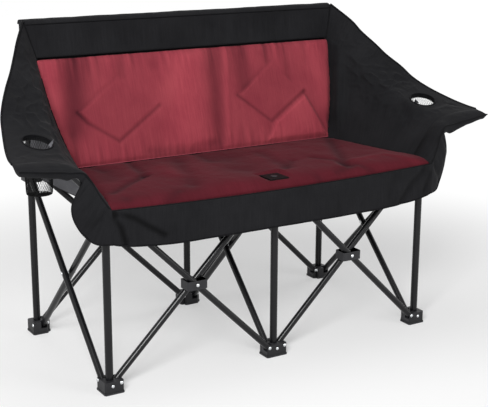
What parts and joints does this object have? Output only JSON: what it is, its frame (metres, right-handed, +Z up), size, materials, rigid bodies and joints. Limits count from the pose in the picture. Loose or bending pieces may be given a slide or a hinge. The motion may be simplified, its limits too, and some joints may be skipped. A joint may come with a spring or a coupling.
{
  "type": "folding camping loveseat",
  "caption": "Folding two-seat camp chair with a steel scissor frame, moulded feet, padded seat and back, wing arms with net cup pockets and a press-button control patch.",
  "frame": {"origin": "Centre of the bounding box in X and Y, on the floor plane under the feet.", "axes": "+X to the right as seen from the front, +Y to the rear, +Z up. The front faces -Y."},
  "size_m": [1.5532, 0.62, 0.9723],
  "materials": {
    "painted_steel": "satin",
    "black_nylon": "matte",
    "zinc": "satin",
    "black_cloth": "matte",
    "wine_cloth": "matte",
    "black_net": "matte",
    "soft_rubber": "matte"
  },
  "bodies": {
    "column_front_left": {"foot_front_left": "black_nylon", "post_front_left": "painted_steel"},
    "column_front_centre": {"foot_front_centre": "black_nylon", "post_front_centre": "painted_steel"},
    "column_front_right": {"foot_front_right": "black_nylon", "post_front_right": "painted_steel"},
    "column_rear_left": {"foot_rear_left": "black_nylon", "post_rear_left": "painted_steel"},
    "column_rear_centre": {"foot_rear_centre": "black_nylon", "post_rear_centre": "painted_steel", "back_pad": "wine_cloth", "back_panel": "black_cloth"},
    "column_rear_right": {"foot_rear_right": "black_nylon", "post_rear_right": "painted_steel"},
    "brace_front_centre_to_rear_centre": {"brace_front_centre_to_rear_centre": "painted_steel", "rivet_front_centre_rear_centre": "zinc"},
    "brace_rear_centre_to_front_centre": {"brace_rear_centre_to_front_centre": "painted_steel"},
    "bracket_rear_centre": {"bracket_rear_centre": "black_nylon"},
    "bracket_front_centre": {"bracket_front_centre": "black_nylon", "inner_rod_front_centre": "painted_steel", "seat_front_roll": "wine_cloth", "front_skirt": "black_cloth", "switch_patch": "soft_rubber"},
    "brace_front_centre_to_front_left": {"brace_front_centre_to_front_left": "painted_steel", "arm_panel_left": "black_cloth", "arm_sleeve_left": "black_cloth", "cup_pocket_left": "black_net"},
    "brace_front_left_to_front_centre": {"brace_front_left_to_front_centre": "painted_steel"},
    "bracket_front_left": {"bracket_front_left": "black_nylon", "inner_rod_front_left": "painted_steel"},
    "hub_front_left_front_centre": {"hub_front_left_front_centre": "black_nylon", "rivet_front_left_front_centre": "zinc"},
    "brace_rear_centre_to_rear_left": {"brace_rear_centre_to_rear_left": "painted_steel"},
    "brace_rear_left_to_rear_centre": {"brace_rear_left_to_rear_centre": "painted_steel"},
    "bracket_rear_left": {"bracket_rear_left": "black_nylon"},
    "hub_rear_left_rear_centre": {"hub_rear_left_rear_centre": "black_nylon", "rivet_rear_left_rear_centre": "zinc"},
    "brace_front_left_to_rear_left": {"brace_front_left_to_rear_left": "painted_steel", "rivet_front_left_rear_left": "zinc"},
    "brace_rear_left_to_front_left": {"brace_rear_left_to_front_left": "painted_steel"},
    "brace_front_centre_to_front_right": {"brace_front_centre_to_front_right": "painted_steel", "arm_panel_right": "black_cloth", "arm_sleeve_right": "black_cloth", "cup_pocket_right": "black_net"},
    "brace_front_right_to_front_centre": {"brace_front_right_to_front_centre": "painted_steel"},
    "bracket_front_right": {"bracket_front_right": "black_nylon", "inner_rod_front_right": "painted_steel"},
    "hub_front_centre_front_right": {"hub_front_centre_front_right": "black_nylon", "rivet_front_centre_front_right": "zinc"},
    "brace_rear_centre_to_rear_right": {"brace_rear_centre_to_rear_right": "painted_steel"},
    "brace_rear_right_to_rear_centre": {"brace_rear_right_to_rear_centre": "painted_steel"},
    "bracket_rear_right": {"bracket_rear_right": "black_nylon"},
    "hub_rear_centre_rear_right": {"hub_rear_centre_rear_right": "black_nylon", "rivet_rear_centre_rear_right": "zinc"},
    "brace_front_right_to_rear_right": {"brace_front_right_to_rear_right": "painted_steel", "rivet_front_right_rear_right": "zinc"},
    "brace_rear_right_to_front_right": {"brace_rear_right_to_front_right": "painted_steel"},
    "seat_front": {"seat_pad_front": "wine_cloth"},
    "seat_rear": {"seat_pad_rear": "wine_cloth"},
    "switch_button": {"switch_button": "soft_rubber"}
  },
  "joints": [
    {"name": "frame_fold", "type": "hinge", "parent": "column_front_centre", "child": "brace_front_centre_to_rear_centre", "pos_m": [-0.0105, -0.2247, 0.03], "axis": [1, 0, 0], "range_deg": [0, 36], "deforming": ["seat_front_roll", "seat_pad_front", "seat_pad_rear", "front_skirt", "back_pad", "back_panel", "arm_panel_left", "arm_panel_right", "arm_sleeve_left", "arm_sleeve_right", "cup_pocket_left", "cup_pocket_right"]},
    {"name": "cross_rear_centre_to_front_centre", "type": "hinge", "parent": "brace_front_centre_to_rear_centre", "child": "brace_rear_centre_to_front_centre", "pos_m": [0, 0.0168, 0.269], "axis": [-1, 0, 0], "range_deg": [0, 72]},
    {"name": "foot_pivot_rear_centre", "type": "hinge", "parent": "brace_rear_centre_to_front_centre", "child": "column_rear_centre", "pos_m": [0.0105, 0.2583, 0.03], "axis": [1, 0, 0], "range_deg": [0, 36]},
    {"name": "bracket_pivot_rear_centre", "type": "hinge", "parent": "brace_front_centre_to_rear_centre", "child": "bracket_rear_centre", "pos_m": [-0.0105, 0.2583, 0.508], "axis": [-1, 0, 0], "range_deg": [0, 36]},
    {"name": "bracket_pivot_front_centre", "type": "hinge", "parent": "brace_rear_centre_to_front_centre", "child": "bracket_front_centre", "pos_m": [0.0105, -0.2247, 0.508], "axis": [1, 0, 0], "range_deg": [0, 36]},
    {"name": "fold_front_centre_to_front_left", "type": "hinge", "parent": "column_front_centre", "child": "brace_front_centre_to_front_left", "pos_m": [-0.026, -0.2612, 0.03], "axis": [0, 1, 0], "range_deg": [0, 36]},
    {"name": "cross_front_left_to_front_centre", "type": "hinge", "parent": "brace_front_centre_to_front_left", "child": "brace_front_left_to_front_centre", "pos_m": [-0.2675, -0.2507, 0.269], "axis": [0, -1, 0], "range_deg": [0, 72]},
    {"name": "foot_pivot_front_left", "type": "hinge", "parent": "brace_front_left_to_front_centre", "child": "column_front_left", "pos_m": [-0.509, -0.2402, 0.03], "axis": [0, 1, 0], "range_deg": [0, 36]},
    {"name": "bracket_pivot_front_left", "type": "hinge", "parent": "brace_front_centre_to_front_left", "child": "bracket_front_left", "pos_m": [-0.509, -0.2612, 0.508], "axis": [0, -1, 0], "range_deg": [0, 36]},
    {"name": "hub_pivot_front_left_front_centre", "type": "hinge", "parent": "brace_front_centre_to_front_left", "child": "hub_front_left_front_centre", "pos_m": [-0.2675, -0.2507, 0.269], "axis": [0, -1, 0], "range_deg": [0, 36]},
    {"name": "fold_rear_centre_to_rear_left", "type": "hinge", "parent": "column_rear_centre", "child": "brace_rear_centre_to_rear_left", "pos_m": [-0.026, 0.2738, 0.03], "axis": [0, 1, 0], "range_deg": [0, 36]},
    {"name": "cross_rear_left_to_rear_centre", "type": "hinge", "parent": "brace_rear_centre_to_rear_left", "child": "brace_rear_left_to_rear_centre", "pos_m": [-0.2675, 0.2843, 0.269], "axis": [0, -1, 0], "range_deg": [0, 72]},
    {"name": "foot_pivot_rear_left", "type": "hinge", "parent": "brace_rear_left_to_rear_centre", "child": "column_rear_left", "pos_m": [-0.509, 0.2948, 0.03], "axis": [0, 1, 0], "range_deg": [0, 36]},
    {"name": "bracket_pivot_rear_left", "type": "hinge", "parent": "brace_rear_centre_to_rear_left", "child": "bracket_rear_left", "pos_m": [-0.509, 0.2738, 0.508], "axis": [0, -1, 0], "range_deg": [0, 36]},
    {"name": "hub_pivot_rear_left_rear_centre", "type": "hinge", "parent": "brace_rear_centre_to_rear_left", "child": "hub_rear_left_rear_centre", "pos_m": [-0.2675, 0.2843, 0.269], "axis": [0, -1, 0], "range_deg": [0, 36]},
    {"name": "fold_front_left_to_rear_left", "type": "hinge", "parent": "column_front_left", "child": "brace_front_left_to_rear_left", "pos_m": [-0.5455, -0.2247, 0.03], "axis": [1, 0, 0], "range_deg": [0, 36]},
    {"name": "cross_rear_left_to_front_left", "type": "hinge", "parent": "brace_front_left_to_rear_left", "child": "brace_rear_left_to_front_left", "pos_m": [-0.535, 0.0168, 0.269], "axis": [-1, 0, 0], "range_deg": [0, 72]},
    {"name": "fold_front_centre_to_front_right", "type": "hinge", "parent": "column_front_centre", "child": "brace_front_centre_to_front_right", "pos_m": [0.026, -0.2402, 0.03], "axis": [0, -1, 0], "range_deg": [0, 36]},
    {"name": "cross_front_right_to_front_centre", "type": "hinge", "parent": "brace_front_centre_to_front_right", "child": "brace_front_right_to_front_centre", "pos_m": [0.2675, -0.2507, 0.269], "axis": [0, 1, 0], "range_deg": [0, 72]},
    {"name": "foot_pivot_front_right", "type": "hinge", "parent": "brace_front_right_to_front_centre", "child": "column_front_right", "pos_m": [0.509, -0.2612, 0.03], "axis": [0, -1, 0], "range_deg": [0, 36]},
    {"name": "bracket_pivot_front_right", "type": "hinge", "parent": "brace_front_centre_to_front_right", "child": "bracket_front_right", "pos_m": [0.509, -0.2402, 0.508], "axis": [0, 1, 0], "range_deg": [0, 36]},
    {"name": "hub_pivot_front_centre_front_right", "type": "hinge", "parent": "brace_front_centre_to_front_right", "child": "hub_front_centre_front_right", "pos_m": [0.2675, -0.2507, 0.269], "axis": [0, 1, 0], "range_deg": [0, 36]},
    {"name": "fold_rear_centre_to_rear_right", "type": "hinge", "parent": "column_rear_centre", "child": "brace_rear_centre_to_rear_right", "pos_m": [0.026, 0.2948, 0.03], "axis": [0, -1, 0], "range_deg": [0, 36]},
    {"name": "cross_rear_right_to_rear_centre", "type": "hinge", "parent": "brace_rear_centre_to_rear_right", "child": "brace_rear_right_to_rear_centre", "pos_m": [0.2675, 0.2843, 0.269], "axis": [0, 1, 0], "range_deg": [0, 72]},
    {"name": "foot_pivot_rear_right", "type": "hinge", "parent": "brace_rear_right_to_rear_centre", "child": "column_rear_right", "pos_m": [0.509, 0.2738, 0.03], "axis": [0, -1, 0], "range_deg": [0, 36]},
    {"name": "bracket_pivot_rear_right", "type": "hinge", "parent": "brace_rear_centre_to_rear_right", "child": "bracket_rear_right", "pos_m": [0.509, 0.2948, 0.508], "axis": [0, 1, 0], "range_deg": [0, 36]},
    {"name": "hub_pivot_rear_centre_rear_right", "type": "hinge", "parent": "brace_rear_centre_to_rear_right", "child": "hub_rear_centre_rear_right", "pos_m": [0.2675, 0.2843, 0.269], "axis": [0, 1, 0], "range_deg": [0, 36]},
    {"name": "fold_front_right_to_rear_right", "type": "hinge", "parent": "column_front_right", "child": "brace_front_right_to_rear_right", "pos_m": [0.5245, -0.2247, 0.03], "axis": [1, 0, 0], "range_deg": [0, 36]},
    {"name": "cross_rear_right_to_front_right", "type": "hinge", "parent": "brace_front_right_to_rear_right", "child": "brace_rear_right_to_front_right", "pos_m": [0.535, 0.0168, 0.269], "axis": [-1, 0, 0], "range_deg": [0, 72]},
    {"name": "seat_hinge_front", "type": "hinge", "parent": "bracket_front_centre", "child": "seat_front", "pos_m": [0, -0.2117, 0.521], "axis": [-1, 0, 0], "range_deg": [0, 80]},
    {"name": "seat_hinge_rear", "type": "hinge", "parent": "bracket_rear_centre", "child": "seat_rear", "pos_m": [0, 0.2443, 0.521], "axis": [1, 0, 0], "range_deg": [0, 80]},
    {"name": "button_press", "type": "slide", "parent": "bracket_front_centre", "child": "switch_button", "axis": [0, 0, 1], "range_m": [-0.001, 0], "stiffness_N_per_m": 400, "springref_m": 0.0005}
  ],
  "couplings": [
    {"joint": "cross_rear_centre_to_front_centre", "follows": "frame_fold", "ratio": 2},
    {"joint": "foot_pivot_rear_centre", "follows": "frame_fold", "ratio": 1},
    {"joint": "bracket_pivot_rear_centre", "follows": "frame_fold", "ratio": 1},
    {"joint": "bracket_pivot_front_centre", "follows": "frame_fold", "ratio": 1},
    {"joint": "fold_front_centre_to_front_left", "follows": "frame_fold", "ratio": 1},
    {"joint": "cross_front_left_to_front_centre", "follows": "frame_fold", "ratio": 2},
    {"joint": "foot_pivot_front_left", "follows": "frame_fold", "ratio": 1},
    {"joint": "bracket_pivot_front_left", "follows": "frame_fold", "ratio": 1},
    {"joint": "hub_pivot_front_left_front_centre", "follows": "frame_fold", "ratio": 1},
    {"joint": "fold_rear_centre_to_rear_left", "follows": "frame_fold", "ratio": 1},
    {"joint": "cross_rear_left_to_rear_centre", "follows": "frame_fold", "ratio": 2},
    {"joint": "foot_pivot_rear_left", "follows": "frame_fold", "ratio": 1},
    {"joint": "bracket_pivot_rear_left", "follows": "frame_fold", "ratio": 1},
    {"joint": "hub_pivot_rear_left_rear_centre", "follows": "frame_fold", "ratio": 1},
    {"joint": "fold_front_left_to_rear_left", "follows": "frame_fold", "ratio": 1},
    {"joint": "cross_rear_left_to_front_left", "follows": "frame_fold", "ratio": 2},
    {"joint": "fold_front_centre_to_front_right", "follows": "frame_fold", "ratio": 1},
    {"joint": "cross_front_right_to_front_centre", "follows": "frame_fold", "ratio": 2},
    {"joint": "foot_pivot_front_right", "follows": "frame_fold", "ratio": 1},
    {"joint": "bracket_pivot_front_right", "follows": "frame_fold", "ratio": 1},
    {"joint": "hub_pivot_front_centre_front_right", "follows": "frame_fold", "ratio": 1},
    {"joint": "fold_rear_centre_to_rear_right", "follows": "frame_fold", "ratio": 1},
    {"joint": "cross_rear_right_to_rear_centre", "follows": "frame_fold", "ratio": 2},
    {"joint": "foot_pivot_rear_right", "follows": "frame_fold", "ratio": 1},
    {"joint": "bracket_pivot_rear_right", "follows": "frame_fold", "ratio": 1},
    {"joint": "hub_pivot_rear_centre_rear_right", "follows": "frame_fold", "ratio": 1},
    {"joint": "fold_front_right_to_rear_right", "follows": "frame_fold", "ratio": 1},
    {"joint": "cross_rear_right_to_front_right", "follows": "frame_fold", "ratio": 2},
    {"joint": "seat_hinge_front", "follows": "frame_fold", "ratio": 2.2},
    {"joint": "seat_hinge_rear", "follows": "frame_fold", "ratio": 2.2}
  ]
}
